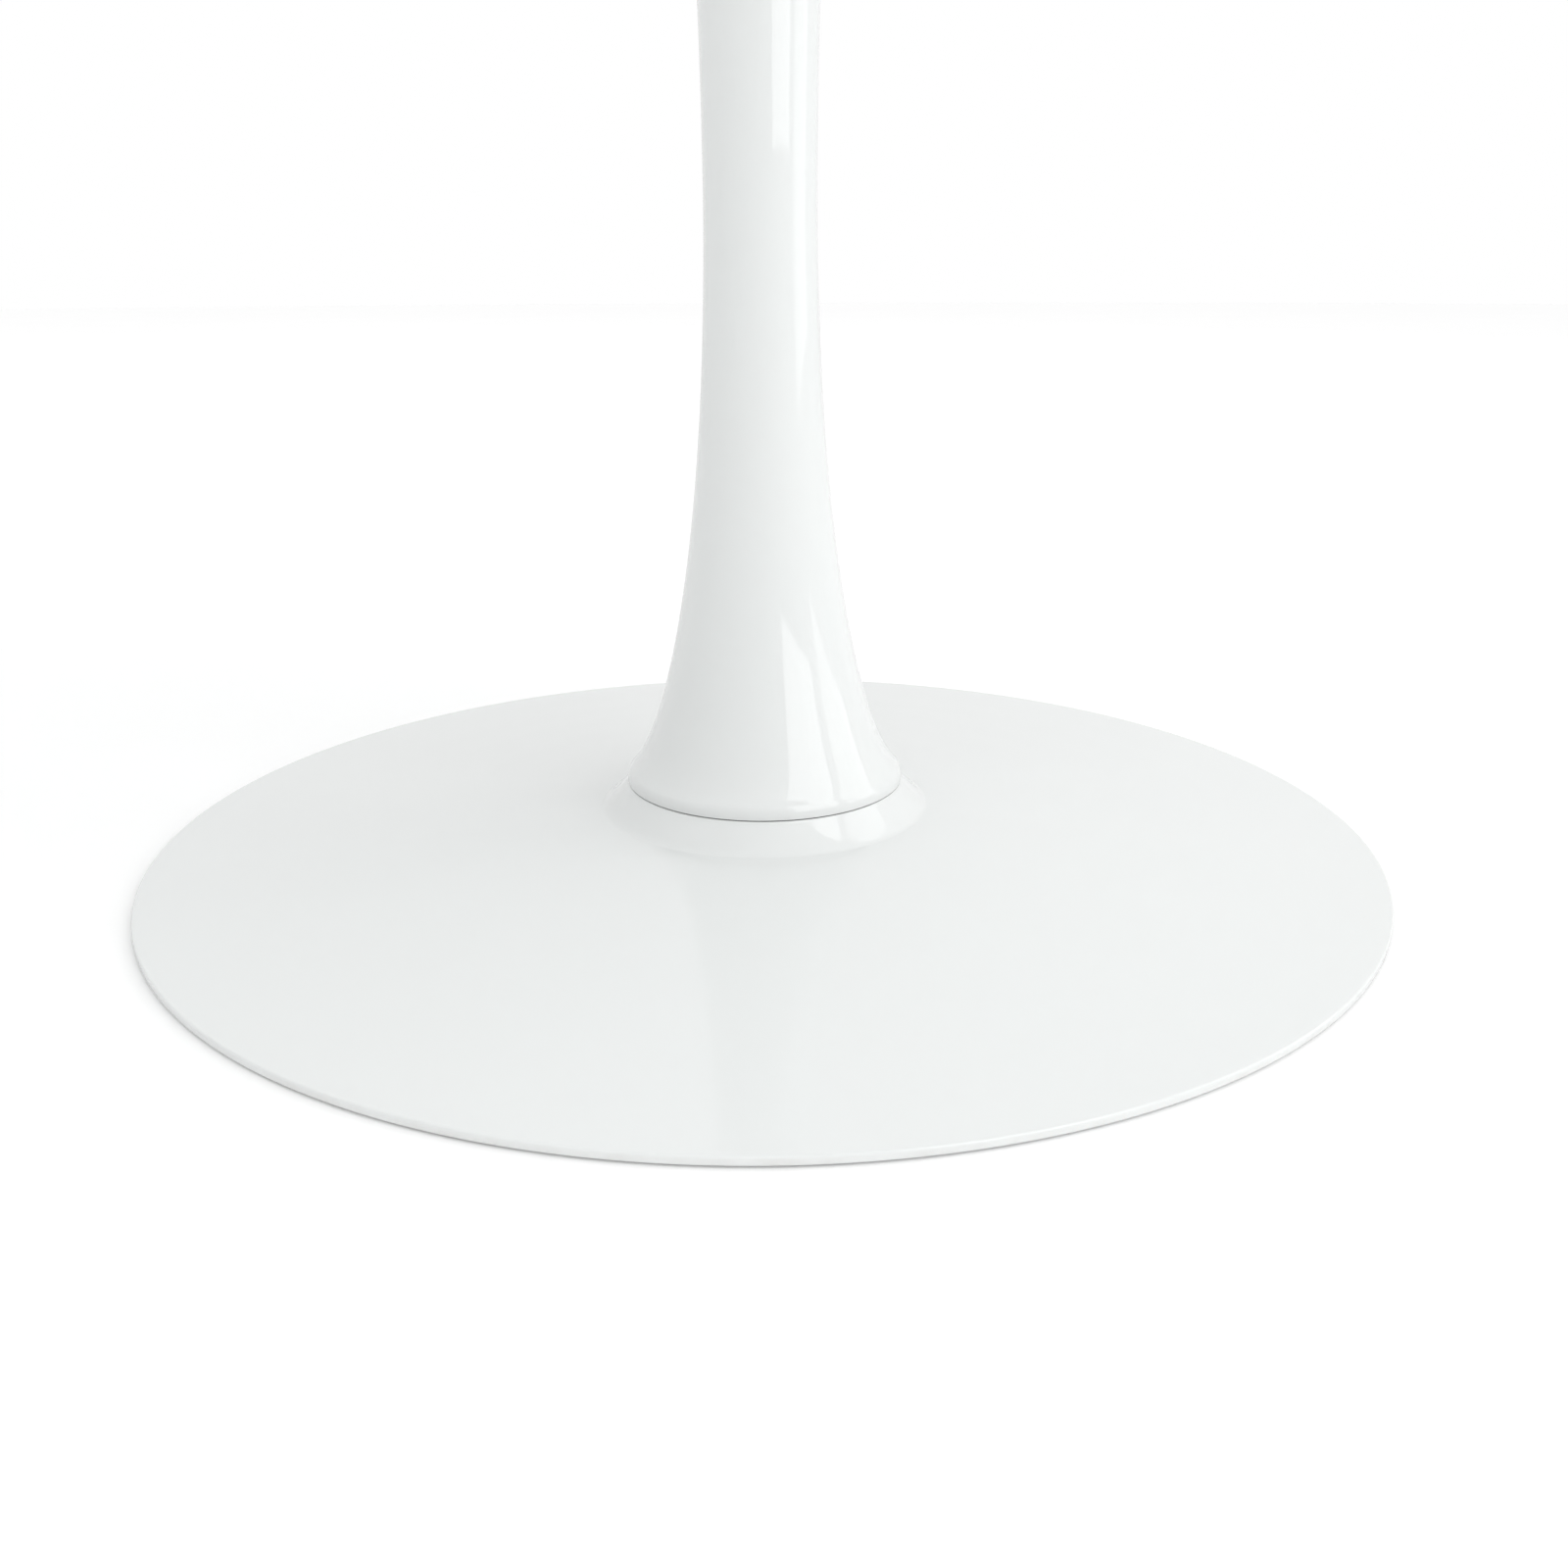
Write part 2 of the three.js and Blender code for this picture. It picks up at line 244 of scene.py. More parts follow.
def smooth(piece, sharp_degrees=32):
    """Smooth shading with crisp edges where two faces meet at more than the given angle."""
    mesh = piece.data
    mesh.polygons.foreach_set("use_smooth", [True] * len(mesh.polygons))
    mesh.set_sharp_from_angle(angle=math.radians(sharp_degrees))


def place(piece, node, material):
    """Puts a finished piece in the model in place of its CAD node."""
    smooth(piece)
    piece.data.materials.clear()
    piece.data.materials.append(material)
    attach(piece, "root")
    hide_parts(node)


def middle(node):
    """The middle of a CAD node's box."""
    low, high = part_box(node)
    return (low + high) / 2


# ---------------------------------------------------------------- shader helpers


class Shader:
    """One node-based material round a Principled shader."""

    def __init__(self, name, **sockets):
        self.material = bpy.data.materials.new(name)
        self.material.use_nodes = True
        self.tree = self.material.node_tree
        self.surface = self.tree.nodes["Principled BSDF"]
        self.set(**sockets)
        self.place = self.tree.nodes.new("ShaderNodeTexCoord").outputs["Object"]
        self.normal = None

    def set(self, **sockets):
        for name, value in sockets.items():
            self.surface.inputs[name.replace("_", " ")].default_value = value

    def link(self, output, socket):
        self.tree.links.new(output, self.surface.inputs[socket])

    def node(self, kind, inputs=(), **settings):
        made = self.tree.nodes.new(kind)
        for name, value in settings.items():
            setattr(made, name, value)
        for name, value in dict(inputs).items():
            if isinstance(value, bpy.types.NodeSocket):
                self.tree.links.new(value, made.inputs[name])
            else:
                made.inputs[name].default_value = value
        return made

    def noise(self, scale, detail=3.0, roughness=0.5, stretch=(1, 1, 1)):
        """Noise in the object's own space, between 0 and 1."""
        spread = self.node("ShaderNodeMapping", {"Vector": self.place, "Scale": stretch})
        inputs = {
            "Vector": spread.outputs["Vector"],
            "Scale": scale,
            "Detail": detail,
            "Roughness": roughness,
        }
        return self.node("ShaderNodeTexNoise", inputs).outputs["Fac"]

    def between(self, value, low, high, start=0.0, end=1.0):
        """Maps a value between start and end to a value between low and high."""
        inputs = {
            "Value": value,
            "From Min": start,
            "From Max": end,
            "To Min": low,
            "To Max": high,
        }
        return self.node("ShaderNodeMapRange", inputs).outputs["Result"]

    def maths(self, operation, first, second, third=0.0):
        inputs = {0: first, 1: second, 2: third}
        return self.node("ShaderNodeMath", inputs, operation=operation).outputs["Value"]

    def mixed(self, share, first, second):
        """A colour between two colours."""
        made = self.node("ShaderNodeMix", data_type="RGBA")
        for index, value in ((0, share), (6, first), (7, second)):
            if isinstance(value, bpy.types.NodeSocket):
                self.tree.links.new(value, made.inputs[index])
            else:
                made.inputs[index].default_value = value
        return made.outputs[2]

    def bump(self, height, depth):
        """Adds relief: a height of 1 stands depth metres above a height of 0."""
        inputs = {"Height": height, "Distance": depth, "Strength": 1.0}
        if self.normal is not None:
            inputs["Normal"] = self.normal
        self.normal = self.node("ShaderNodeBump", inputs).outputs["Normal"]
        self.link(self.normal, "Normal")

    def height(self):
        """The height above the floor."""
        return self.node("ShaderNodeSeparateXYZ", {"Vector": self.place}).outputs["Z"]

    def reach(self):
        """The distance from the table's axis."""
        flat = self.node(
            "ShaderNodeVectorMath",
            {0: self.place, 1: (1, 1, 0)},
            operation="MULTIPLY",
        )
        length = self.node(
            "ShaderNodeVectorMath", {0: flat.outputs["Vector"]}, operation="LENGTH"
        )
        return length.outputs["Value"]


# ---------------------------------------------------------------- finishes

WHITE = (0.763, 0.780, 0.776, 1)
WHITE_WARM = (0.760, 0.774, 0.768, 1)
WORN_WHITE = (0.68, 0.68, 0.665, 1)


def hairlines(shader, scale, turn):
    """Sparse fine scratches along one direction: 1 on a scratch, 0 off it."""
    drawn = shader.node(
        "ShaderNodeMapping",
        {"Vector": shader.place, "Rotation": (0, 0, turn), "Scale": (1, 60, 6)},
    )
    inputs = {"Vector": drawn.outputs["Vector"], "Scale": scale, "Detail": 1.0}
    streaks = shader.node("ShaderNodeTexNoise", inputs).outputs["Fac"]
    return shader.between(streaks, 0.0, 1.0, 0.70, 0.78)


def white_lacquer():
    """Gloss powder coat over spun steel: a slight orange peel, faint scratches, a worn rim."""
    shader = Shader("white_lacquer", Coat_Weight=0.3, Coat_Roughness=0.01, IOR=1.5)
    rim = shader.between(shader.reach(), 0.0, 1.0, BASE_RADIUS - 1.2 * MM, BASE_RADIUS)
    patchy = shader.between(shader.noise(45.0, detail=4.0, roughness=0.65), 0.0, 1.0, 0.45, 0.7)
    low = shader.between(shader.height(), 1.0, 0.0, RIM_BOTTOM, RIM_BOTTOM + RIM_EDGE)
    worn = shader.maths("MULTIPLY", shader.maths("MULTIPLY", rim, patchy), low)
    cloud = shader.mixed(shader.noise(5.0, detail=2.0), WHITE, WHITE_WARM)
    shader.link(shader.mixed(worn, cloud, WORN_WHITE), "Base Color")
    smudge = shader.between(shader.noise(28.0, detail=4.0, roughness=0.6), 0.012, 0.035, 0.3, 0.7)
    scratched = shader.maths(
        "MAXIMUM",
        hairlines(shader, 2.2, 0.6),
        hairlines(shader, 1.7, 2.1),
    )
    rougher = shader.maths("MULTIPLY_ADD", scratched, 0.06, smudge)
    shader.link(shader.maths("MULTIPLY_ADD", worn, 0.25, rougher), "Roughness")
    turning = shader.node(
        "ShaderNodeTexWave",
        {"Vector": shader.place, "Scale": 9.0, "Distortion": 1.5, "Detail": 1.0},
        wave_type="RINGS",
        rings_direction="Z",
    )
    shader.bump(turning.outputs["Fac"], 0.012 * MM)
    shader.bump(shader.noise(420.0, detail=1.0), 0.0025 * MM)
    return shader.material


def top_lacquer():
    """Gloss lacquer on fibreboard: flatter than the powder coat, wiped in every direction."""
    shader = Shader("top_lacquer", Coat_Weight=0.3, Coat_Roughness=0.08, IOR=1.5)
    cloud = shader.noise(3.0, detail=2.0)
    shader.link(shader.mixed(cloud, WHITE, WHITE_WARM), "Base Color")
    smudge = shader.between(shader.noise(16.0, detail=5.0, roughness=0.6), 0.06, 0.14, 0.3, 0.7)
    scratched = shader.maths(
        "MAXIMUM",
        hairlines(shader, 1.3, 0.2),
        hairlines(shader, 1.6, 1.4),
    )
    shader.link(shader.maths("MULTIPLY_ADD", scratched, 0.05, smudge), "Roughness")
    shader.bump(shader.noise(130.0, detail=1.0), 0.0015 * MM)
    return shader.material


def zinc_steel():
    """Bright zinc plate: bluish grey with drifting passivation tints and fine marks."""
    shader = Shader("zinc_steel", Metallic=1.0)
    tint = shader.between(shader.noise(60.0, detail=3.0), 0.0, 1.0, 0.35, 0.65)
    cool = (0.60, 0.62, 0.66, 1)
    straw = (0.66, 0.63, 0.56, 1)
    shader.link(shader.mixed(tint, cool, straw), "Base Color")
    shader.link(shader.between(shader.noise(240.0), 0.22, 0.42, 0.3, 0.7), "Roughness")
    shader.bump(shader.noise(900.0, detail=2.0), 0.01 * MM)
    return shader.material


def black_casting():
    """Sand-cast iron under a thin matte primer."""
    shader = Shader("black_casting", Specular_IOR_Level=0.35)
    grit = shader.noise(180.0, detail=5.0, roughness=0.7)
    speck = shader.between(grit, 0.0, 1.0, 0.4, 0.7)
    primer = (0.022, 0.023, 0.025, 1)
    dust = (0.06, 0.058, 0.055, 1)
    shader.link(shader.mixed(speck, primer, dust), "Base Color")
    shader.link(shader.between(shader.noise(90.0), 0.55, 0.8, 0.3, 0.7), "Roughness")
    shader.bump(shader.noise(110.0, detail=4.0, roughness=0.6), 0.35 * MM)
    shader.bump(shader.noise(650.0, detail=3.0), 0.08 * MM)
    return shader.material


def black_rubber():
    """Die-cut rubber sheet with a slightly dusty bloom."""
    shader = Shader("black_rubber", Specular_IOR_Level=0.3)
    shade = shader.noise(120.0, detail=3.0)
    clean = (0.012, 0.012, 0.012, 1)
    bloom = (0.03, 0.03, 0.031, 1)
    shader.link(shader.mixed(shade, clean, bloom), "Base Color")
    shader.link(shader.between(shader.noise(300.0), 0.65, 0.85, 0.3, 0.7), "Roughness")
    shader.bump(shader.noise(700.0, detail=2.0), 0.03 * MM)
    return shader.material


def insert_brass():
    """Turned brass, tarnished in patches."""
    shader = Shader("insert_brass", Metallic=1.0)
    tarnish = shader.between(shader.noise(150.0, detail=4.0), 0.0, 1.0, 0.35, 0.7)
    bright = (0.72, 0.55, 0.25, 1)
    brown = (0.50, 0.37, 0.17, 1)
    shader.link(shader.mixed(tarnish, bright, brown), "Base Color")
    shader.link(shader.between(shader.noise(400.0), 0.22, 0.4, 0.3, 0.7), "Roughness")
    shader.bump(shader.noise(900.0, detail=2.0), 0.02 * MM)
    return shader.material


def pad_felt():
    """Pressed wool felt: matted fibres with light and dark hairs."""
    shader = Shader("pad_felt", Specular_IOR_Level=0.1, Sheen_Weight=0.4)
    fibres = shader.noise(900.0, detail=6.0, roughness=0.75, stretch=(1, 1, 3))
    hair = shader.between(fibres, 0.0, 1.0, 0.35, 0.65)
    dark_wool = (0.20, 0.20, 0.195, 1)
    light_wool = (0.42, 0.42, 0.41, 1)
    shader.link(shader.mixed(hair, dark_wool, light_wool), "Base Color")
    shader.link(shader.between(fibres, 0.85, 1.0), "Roughness")
    shader.bump(fibres, 0.25 * MM)
    return shader.material


FINISHES = {
    "white_lacquer": white_lacquer(),
    "top_lacquer": top_lacquer(),
    "zinc_steel": zinc_steel(),
    "black_casting": black_casting(),
    "black_rubber": black_rubber(),
    "insert_brass": insert_brass(),
    "pad_felt": pad_felt(),
}


def dress_frame():
    """Gives every CAD node its own slot's finish, so that nothing shows undressed."""
    for entry in frame["record"]["subparts"]:
        node = frame["nodes"][entry["node"]]
        node.data.materials.clear()
        node.data.materials.append(FINISHES[entry["material_slot"]])


# ---------------------------------------------------------------- base


def base_shell():
    """One spun sheet: rounded rim, shallow disc, hub and the flat seat that the column stands on."""
    rim = BASE_RADIUS
    shoulder = FOOT_RADIUS - 0.5 * MM
    seat_low = SEAT - SHELL_WALL
    rim_top = RIM_BOTTOM + RIM_EDGE
    soft = 0.6 * MM
    hub_top = hub_line(1)[1]
    outside = [
        *corner((rim - soft, RIM_BOTTOM), (rim, RIM_BOTTOM), (rim, RIM_BOTTOM + soft)),
        *corner((rim, rim_top - RIM_ROUND), (rim, rim_top), (rim - RIM_ROUND, rim_top)),
        *disc_line(48)[1:],
        *hub_line(48)[1:],
        *corner(hub_top, (FOOT_RADIUS, SEAT), (shoulder, SEAT))[1:],
        (SEAT_HOLE, SEAT),
    ]
    inside = [
        (SEAT_HOLE, seat_low),
        (shoulder - SHELL_WALL / 2, seat_low),
        *reversed(moved_left(hub_line(24), SHELL_WALL)[1:-1]),
        *reversed(moved_left(disc_line(24), SHELL_WALL)[1:]),
        (rim - SHELL_WALL, rim_top - SHELL_WALL),
        (rim - SHELL_WALL, RIM_BOTTOM),
    ]
    piece = turned("base_shell_fine", outside + inside, sides=288)
    place(piece, "base_shell", FINISHES["white_lacquer"])


def cast_groove(radius, low, width=5 * MM, depth=0.5 * MM):
    """A shallow groove cast into the underside, as outline points going outwards."""
    return [
        (radius - width, low),
        (radius - width + depth, low + depth),
        (radius + width - depth, low + depth),
        (radius + width, low),
    ]


def ballast_casting():
    """The casting follows the shell above. Below it has shallow cast rings and nut pockets."""
    low = ballast_low.z
    high = ballast_high.z
    edge = ballast_high.x
    pocket = NUT_POCKET_RADIUS
    pocket_top = NUT_POCKET_TOP
    edge_round = 1.2 * MM
    pocket_round = 1.5 * MM
    crown = 60.5 * MM
    gap = SHELL_WALL + 0.4 * MM
    follows = moved_left(disc_line(30), gap) + moved_left(hub_line(24), gap)[1:]
    kept = [p for p in follows if p[0] < edge - 6 * MM and p[1] < high - 2 * MM]
    outline = [
        *corner((pocket, low + edge_round), (pocket, low), (pocket + edge_round, low)),
        *cast_groove(62 * MM, low),
        *cast_groove(196 * MM, low),
        *corner((edge - edge_round, low), (edge, low), (edge, low + edge_round)),
        (edge - 0.5 * MM, low + 1.5 * MM),
        *kept,
        *corner((crown + 0.5 * MM, high - 0.8 * MM), (crown, high), (crown - 1 * MM, high)),
        (ROD_HOLE, high),
        (ROD_HOLE, pocket_top),
        *corner(
            (pocket - pocket_round, pocket_top),
            (pocket, pocket_top),
            (pocket, pocket_top - pocket_round),
        ),
    ]
    piece = turned("ballast_casting_fine", outline, sides=240)
    recess_radius = 9 * MM
    stud_hole = 3.4 * MM
    tools = []
    for index in range(1, STUD_COUNT + 1):
        centre = middle(f"base_stud_{index}")
        nut_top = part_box(f"base_stud_nut_{index}")[1].z
        recess = [
            (0, low - 1 * MM),
            (recess_radius + 0.6 * MM, low - 1 * MM),
            (recess_radius + 0.4 * MM, low + 0.3 * MM),
            (recess_radius, low + 1.0 * MM),
            (recess_radius, nut_top),
            (stud_hole, nut_top),
            (stud_hole, high),
            (0, high),
        ]
        tools.append(turned("recess", recess, 48, (centre.x, centre.y)))
    drill(piece, tools)
    place(piece, "ballast_casting", FINISHES["black_casting"])


def floor_pad(index):
    """A felt disc with a soft, slightly uneven edge."""
    node = f"floor_pad_{index}"
    low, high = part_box(node)
    centre = (low + high) / 2
    radius = (high.x - low.x) / 2
    height = high.z
    edge = 0.7 * MM

    def ragged(inset):
        def reach(angle):
            spot = Vector((math.cos(angle) * 3, math.sin(angle) * 3, index * 7 + inset / MM))
            return radius - inset - 0.15 * MM + 0.15 * MM * noise.noise(spot)

        return reach

    outline = [
        (0, 0),
        (ragged(3 * MM), 0),
        (ragged(edge), 0),
        (ragged(0.2 * MM), 0.3 * edge),
        (ragged(0), edge),
        (ragged(0), height - edge),
        (ragged(0.3 * MM), height - 0.2 * edge),
        (ragged(edge), height),
        (ragged(3 * MM), height),
        (0, height),
    ]
    piece = turned(f"floor_pad_{index}_felt", outline, 64, (centre.x, centre.y))
    place(piece, node, FINISHES["pad_felt"])


# ---------------------------------------------------------------- column and gaskets


def column():
    """One spun tube that flares to a rounded lip at both ends."""
    foot = FOOT_RADIUS
    head = HEAD_RADIUS
    wall = COLUMN_WALL
    foot_lip = COLUMN_FOOT + FOOT_LIP
    head_lip = COLUMN_HEAD - HEAD_LIP
    edge = 0.25 * MM
    flare_start = foot_flare(1)[0]
    flare_end = head_flare(1)[1]
    outside = [
        *corner((foot - edge, COLUMN_FOOT), (foot, COLUMN_FOOT), (foot, COLUMN_FOOT + edge)),
        *corner((foot, foot_lip), (foot, FLARE_HEIGHT - 1.75 * MM), flare_start),
        *foot_flare(72)[1:],
        *head_flare(72)[1:],
        *corner(flare_end, (head, COLUMN_HEAD - 3.7 * MM), (head, head_lip))[1:],
        *corner((head, COLUMN_HEAD - edge), (head, COLUMN_HEAD), (head - edge, COLUMN_HEAD)),
    ]
    inside = [
        (head - wall, COLUMN_HEAD),
        (head - wall - 0.3 * MM, head_lip),
        *reversed(moved_left(head_flare(24), wall)),
        *reversed(moved_left(foot_flare(24), wall)[:-1]),
        (foot - wall - 0.3 * MM, foot_lip),
        (foot - wall, COLUMN_FOOT),
    ]
    piece = turned("column_fine", outside + inside, sides=192)
    place(piece, "column", FINISHES["white_lacquer"])


def gasket(node):
    """A thin flat ring with a softly rounded outer edge."""
    low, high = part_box(node)
    inner = 36 * MM
    outer = high.x
    thick = high.z - low.z
    bulge = thick / 2
    outline = [
        (inner, low.z),
        *corner((outer - bulge, low.z), (outer, low.z), (outer, low.z + bulge), 3),
        *corner((outer, low.z + bulge), (outer, high.z), (outer - bulge, high.z), 3)[1:],
        (inner, high.z),
    ]
    piece = turned(f"{node}_fine", outline, sides=160)
    place(piece, node, FINISHES["black_rubber"])


# ---------------------------------------------------------------- fasteners


def hexagon(across_flats):
    """The reach of a hexagon with a corner on +X, as a function of the angle."""

    def reach(angle):
        off_flat = angle % (math.pi / 3) - math.pi / 6
        return across_flats / 2 / math.cos(off_flat)

    return reach


def hex_nut(node, bore):
    """A hexagon nut with both faces chamfered at 30 degrees, so that its flats end in arcs."""
    low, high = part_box(node)
    centre = (low + high) / 2
    across = high.y - low.y
    face = across / 2 * 0.95
    slope = math.tan(math.radians(30))
    hexagon_reach = hexagon(across)
    lead = 0.5 * MM

    def lower(angle):
        return low.z + (hexagon_reach(angle) - face) * slope

    def upper(angle):
        return high.z - (hexagon_reach(angle) - face) * slope

    outline = [
        (bore + lead, low.z),
        (face, low.z),
        (hexagon_reach, lower),
        (hexagon_reach, upper),
        (face, high.z),
        (bore + lead, high.z),
        (bore, high.z - lead),
        (bore, low.z + lead),
    ]
    piece = turned(f"{node}_fine", outline, 72, (centre.x, centre.y))
    place(piece, node, FINISHES["zinc_steel"])


def threaded_rod(node, pitch, thread_length, rows_per_turn=8):
    """A rod whose lower end carries a helical thread; the rest is plain."""
    low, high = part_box(node)
    centre = (low + high) / 2
    radius = (high.x - low.x) / 2
    depth = 0.6 * pitch
    lead = 1.2 * pitch
    rings = [[(centre.x, centre.y, low.z)]]
    rows = round(thread_length / pitch * rows_per_turn)
    sides = 36
    for row in range(rows + 1):
        rise = row * pitch / rows_per_turn
        fade = min(1.0, (thread_length - rise) / (2 * pitch))
        taper = max(0.0, 1 - rise / lead) * depth

        def reach(angle, rise=rise, fade=fade, taper=taper):
            turn = (rise / pitch - angle / (2 * math.pi)) % 1.0
            groove = min(1.0, max(0.0, abs(turn - 0.5) * 2.4 - 0.1))
            return radius - max(taper, groove * depth * fade)

        rings.append(ring_at(reach, low.z + rise, sides, (centre.x, centre.y)))
    rings.append(ring_at(radius, high.z - lead / 2, sides, (centre.x, centre.y)))
    rings.append(ring_at(radius - depth, high.z, sides, (centre.x, centre.y)))
    rings.append([(centre.x, centre.y, high.z)])
    piece = loft(f"{node}_fine", rings)
    place(piece, node, FINISHES["zinc_steel"])


def flat_washer(node, bore):
    """A stamped washer: rounded on the side the punch came from, crisp on the other."""
    low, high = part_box(node)
    outer = high.x
    soft = 0.7 * MM
    outline = [
        *corner((bore, low.z + soft), (bore, low.z), (bore + soft, low.z)),
        *corner((outer - soft, low.z), (outer, low.z), (outer, low.z + soft)),
        (outer, high.z - 0.15 * MM),
        (outer - 0.15 * MM, high.z),
        (bore, high.z),
    ]
    piece = turned(f"{node}_fine", outline, sides=96)
    place(piece, node, FINISHES["zinc_steel"])


def average(points):
    """The point in the middle of some points."""
    return sum((Vector(point) for point in points), Vector()) / len(points)


def spring_washer(node, bore):
    """A split ring of square wire."""
    low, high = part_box(node)
    outer = high.y
    half_gap = 1.0 * MM
    soft = 0.25 * MM
    section = [
        (bore + soft, low.z),
        (outer - soft, low.z),
        (outer, low.z + soft),
        (outer, high.z - soft),
        (outer - soft, high.z),
        (bore + soft, high.z),
        (bore, high.z - soft),
        (bore, low.z + soft),
    ]
    steps = 96
    start = math.asin(half_gap / outer)
    rings = []
    for i in range(steps + 1):
        angle = start + (2 * math.pi - 2 * start) * i / steps
        rings.append([(r * math.cos(angle), r * math.sin(angle), z) for r, z in section])
    rings = [[average(rings[0])], *rings, [average(rings[-1])]]
    piece = loft(f"{node}_fine", rings)
    piece.data.flip_normals()
    place(piece, node, FINISHES["zinc_steel"])


def top_screw(index):
    """A button-head screw with a hexagon socket, driven up through the plate."""
    node = f"top_screw_{index}"
    low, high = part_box(node)
    centre = (low + high) / 2
    head_radius = (high.x - low.x) / 2
    socket = 4 * MM
    socket_floor = low.z + 2 * MM
    shank = 3 * MM
    dome_start = (socket / 2 + 1.1 * MM, low.z)
    dome_end = (head_radius, PLATE_UNDERSIDE - 0.8 * MM)
    outline = [
        (0, socket_floor + 0.4 * MM),
        (hexagon(socket * 0.96), socket_floor),
        (hexagon(socket), socket_floor - 0.1 * MM),
        (hexagon(socket), low.z + 0.3 * MM),
        (socket / 2 + 0.6 * MM, low.z),
        *corner(dome_start, (head_radius - 0.7 * MM, low.z + 0.4 * MM), dome_end, 10),
        (head_radius, PLATE_UNDERSIDE),
        (shank, PLATE_UNDERSIDE),
        (shank, high.z - 0.6 * MM),
        (shank - 0.6 * MM, high.z),
        (0, high.z),
    ]
    piece = turned(f"{node}_fine", outline, 60, (centre.x, centre.y))
    place(piece, node, FINISHES["zinc_steel"])


# ---------------------------------------------------------------- top


def tabletop():
    """A flat disc with a long bevel underneath and a thin rounded edge."""
    edge_low = TOP_SURFACE - TOP_EDGE
    outline = [
        (0, TOP_UNDERSIDE),
        (TOP_FLAT_RADIUS - 4 * MM, TOP_UNDERSIDE),
        *corner(
            (TOP_FLAT_RADIUS - 3 * MM, TOP_UNDERSIDE),
            (TOP_FLAT_RADIUS, TOP_UNDERSIDE),
            (TOP_FLAT_RADIUS + 3 * MM, TOP_UNDERSIDE + 0.57 * MM),
        ),
        *corner(
            (TOP_RADIUS - 1.6 * MM, edge_low - 0.2 * MM),
            (TOP_RADIUS, edge_low),
            (TOP_RADIUS, edge_low + 1.2 * MM),
        ),
        *corner(
            (TOP_RADIUS, TOP_SURFACE - TOP_ROUND),
            (TOP_RADIUS, TOP_SURFACE),
            (TOP_RADIUS - TOP_ROUND, TOP_SURFACE),
        ),
        (TOP_RADIUS - 6 * MM, TOP_SURFACE),
        (0, TOP_SURFACE),
    ]
    piece = turned("tabletop_fine", outline, sides=360)
    place(piece, "tabletop", FINISHES["top_lacquer"])


def mounting_plate():
    """A round steel plate with softened edges and a clearance hole for each top screw."""
    lower_round = 1.4 * MM
    upper_round = 1 * MM
    screw_hole = 3.4 * MM
    outline = [
        (ROD_HOLE, PLATE_UNDERSIDE),
        *corner(
            (PLATE_RADIUS - lower_round, PLATE_UNDERSIDE),
            (PLATE_RADIUS, PLATE_UNDERSIDE),
            (PLATE_RADIUS, PLATE_UNDERSIDE + lower_round),
        ),
        *corner(
            (PLATE_RADIUS, TOP_UNDERSIDE - upper_round),
            (PLATE_RADIUS, TOP_UNDERSIDE),
            (PLATE_RADIUS - upper_round, TOP_UNDERSIDE),
        ),
        (ROD_HOLE, TOP_UNDERSIDE),
    ]
    piece = turned("mounting_plate_fine", outline, sides=192)
    tools = []
    for index in range(1, TOP_SCREW_COUNT + 1):
        centre = middle(f"top_screw_{index}")
        hole = [
            (0, PLATE_UNDERSIDE - 1 * MM),
            (screw_hole, PLATE_UNDERSIDE - 1 * MM),
            (screw_hole, TOP_UNDERSIDE + 1 * MM),
            (0, TOP_UNDERSIDE + 1 * MM),
        ]
        tools.append(turned("hole", hole, 32, (centre.x, centre.y)))
    drill(piece, tools)
    place(piece, "mounting_plate", FINISHES["white_lacquer"])


# ---------------------------------------------------------------- studio

CAMERA_DISTANCE = 718.9 * MM
CAMERA_HEIGHT = 274.3 * MM
CAMERA_DOWN = math.radians(18.83)
CAMERA_TURN = math.radians(0.775)  # towards +X
CAMERA_ROLL = math.radians(-0.196)
CAMERA_LENS = 34.47  # millimetres, like the sensor
CAMERA_SENSOR = 36

FLOOR_RADIUS = 14
FLOOR_GLOW = 0.05
FLOOR_WHITE = (0.95, 0.95, 0.95, 1)
FLOOR_PALE = (0.93, 0.93, 0.93, 1)
FLOOR_IN_MIRRORS = (0.76, 0.76, 0.76, 1)


def camera():
    """Stands in front of the base, a little above it, and looks down at the foot of the column."""
    data = bpy.data.cameras.new("camera")
    data.lens = CAMERA_LENS
    data.sensor_width = CAMERA_SENSOR
    made = bpy.data.objects.new("camera", data)
    bpy.context.scene.collection.objects.link(made)
    ahead = Vector(
        (
            math.sin(CAMERA_TURN) * math.cos(CAMERA_DOWN),
            math.cos(CAMERA_TURN) * math.cos(CAMERA_DOWN),
            -math.sin(CAMERA_DOWN),
        )
    )
    right = Vector((math.cos(CAMERA_TURN), -math.sin(CAMERA_TURN), 0))
    up = right.cross(ahead)
    rolled = Matrix.Rotation(-CAMERA_ROLL, 3, ahead)
    right = rolled @ right
    up = rolled @ up
    made.matrix_world = Matrix(
        (
            (right.x, up.x, -ahead.x, 0),
            (right.y, up.y, -ahead.y, -CAMERA_DISTANCE),
            (right.z, up.z, -ahead.z, CAMERA_HEIGHT),
            (0, 0, 0, 1),
        )
    )
    bpy.context.scene.camera = made


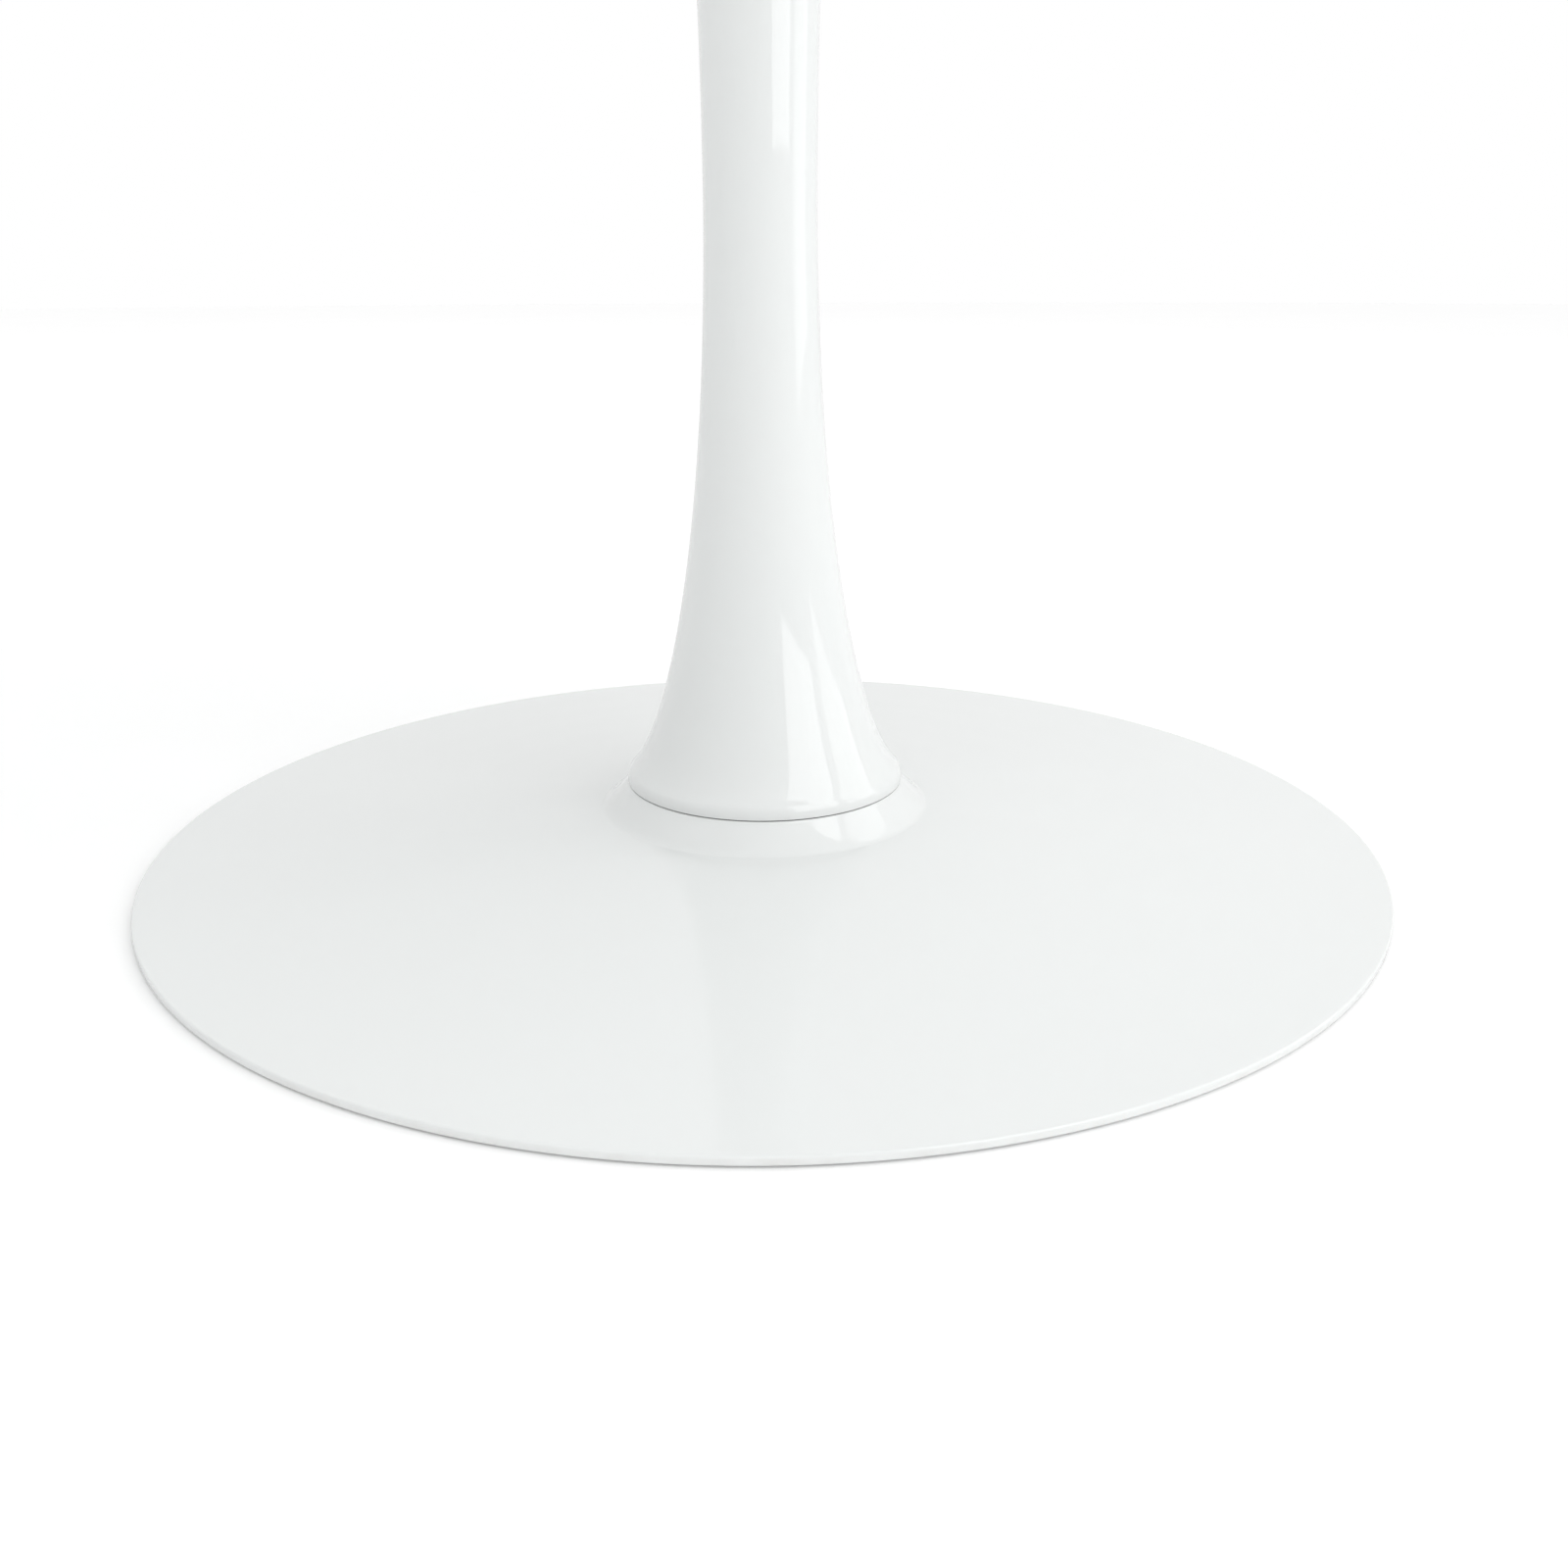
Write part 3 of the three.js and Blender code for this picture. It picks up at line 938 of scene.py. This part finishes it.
def floor():
    """Plain pale paper. Mirror reflections of it are greyer than the paper itself."""
    piece = loft("floor", [[(0, 0, 0)], ring_at(FLOOR_RADIUS, 0, 96)])
    shader = Shader("studio_floor", Roughness=0.9, Specular_IOR_Level=0.1)
    mirrored = shader.node("ShaderNodeLightPath").outputs["Is Glossy Ray"]
    paper = shader.mixed(shader.noise(2.0, detail=2.0), FLOOR_WHITE, FLOOR_PALE)
    shader.link(shader.mixed(mirrored, paper, FLOOR_IN_MIRRORS), "Base Color")
    shader.set(Emission_Color=(1, 1, 1, 1), Emission_Strength=FLOOR_GLOW)
    piece.data.materials.append(shader.material)


# Light from the plain surroundings, compared with the white backdrop at 1. It grows along
# the tilt: towards overhead, and a little to the back.
ROOM_LEVEL = 0.79
ROOM_TILT = (0, 0.07, 0.295)

PANEL_DISTANCE = 4.0
PANEL_EYE = 0.08  # height that the panels' angles are measured from

# Two panes of one tall window that leans over the table, so that their upper ends reach
# further round. Degrees run from the camera's side round towards +X, then from the horizon up.
PANELS = {
    "window_near": {
        "foot": (24.5, 59.5),
        "head": (24.5, 90),
        "above": (7, 62),
        "brightness": 2.4,
    },
    "window_far": {
        "foot": (69.2, 101),
        "head": (85, 124),
        "above": (3.5, 50),
        "brightness": 1.82,
    },
}


def panel(name, foot, head, above, brightness):
    """A glowing sheet that fills the given angles. The camera sees it only in reflections."""
    corners = []
    for around, rise in zip((foot, reversed(head)), above):
        for degrees in around:
            turn = math.radians(degrees)
            height = PANEL_EYE + PANEL_DISTANCE * math.tan(math.radians(rise))
            side = PANEL_DISTANCE * math.sin(turn)
            front = -PANEL_DISTANCE * math.cos(turn)
            corners.append((side, front, height))
    sheet = new_mesh(name, corners, [(0, 1, 2, 3)])
    shader = Shader(f"{name}_glow", Base_Color=(0, 0, 0, 1), Specular_IOR_Level=0.0)
    shader.set(Emission_Color=(1, 1, 1, 1), Emission_Strength=brightness)
    sheet.data.materials.append(shader.material)
    sheet.visible_camera = False


def surroundings():
    """Soft light from all round, in front of a white backdrop."""
    world = bpy.data.worlds.new("studio")
    world.use_nodes = True
    tree = world.node_tree
    direction = tree.nodes.new("ShaderNodeTexCoord").outputs["Generated"]
    tilt = tree.nodes.new("ShaderNodeVectorMath")
    tilt.operation = "DOT_PRODUCT"
    tilt.inputs[1].default_value = ROOM_TILT
    tree.links.new(direction, tilt.inputs[0])
    room = tree.nodes.new("ShaderNodeMath")
    room.inputs[1].default_value = ROOM_LEVEL
    tree.links.new(tilt.outputs["Value"], room.inputs[0])
    seen = tree.nodes.new("ShaderNodeLightPath").outputs["Is Camera Ray"]
    level = tree.nodes.new("ShaderNodeMix")
    level.inputs["B"].default_value = 1.0
    tree.links.new(seen, level.inputs["Factor"])
    tree.links.new(room.outputs["Value"], level.inputs["A"])
    tree.links.new(level.outputs["Result"], tree.nodes["Background"].inputs["Strength"])
    tree.nodes["Background"].inputs["Color"].default_value = (1, 1, 1, 1)
    bpy.context.scene.world = world


def lights():
    """The room's even light and the window's two panes."""
    surroundings()
    for name, settings in PANELS.items():
        panel(name, **settings)


def pieces():
    """Every visible piece, from the floor up."""
    base_shell()
    ballast_casting()
    for index in range(1, PAD_COUNT + 1):
        floor_pad(index)
    column()
    gasket("foot_gasket")
    gasket("head_gasket")
    for index in range(1, STUD_COUNT + 1):
        threaded_rod(f"base_stud_{index}", pitch=1.0 * MM, thread_length=8 * MM)
        hex_nut(f"base_stud_nut_{index}", bore=3.3 * MM)
    threaded_rod("tie_rod", pitch=1.75 * MM, thread_length=28 * MM)
    hex_nut("tie_rod_nut", bore=ROD_HOLE)
    hex_nut("tie_rod_captive_nut", bore=ROD_HOLE)
    flat_washer("tie_rod_washer", bore=ROD_HOLE)
    spring_washer("tie_rod_spring_washer", bore=ROD_HOLE)
    mounting_plate()
    for index in range(1, TOP_SCREW_COUNT + 1):
        top_screw(index)
    tabletop()


dress_frame()
pieces()
floor()
lights()
camera()
bpy.context.scene.view_settings.view_transform = "Standard"
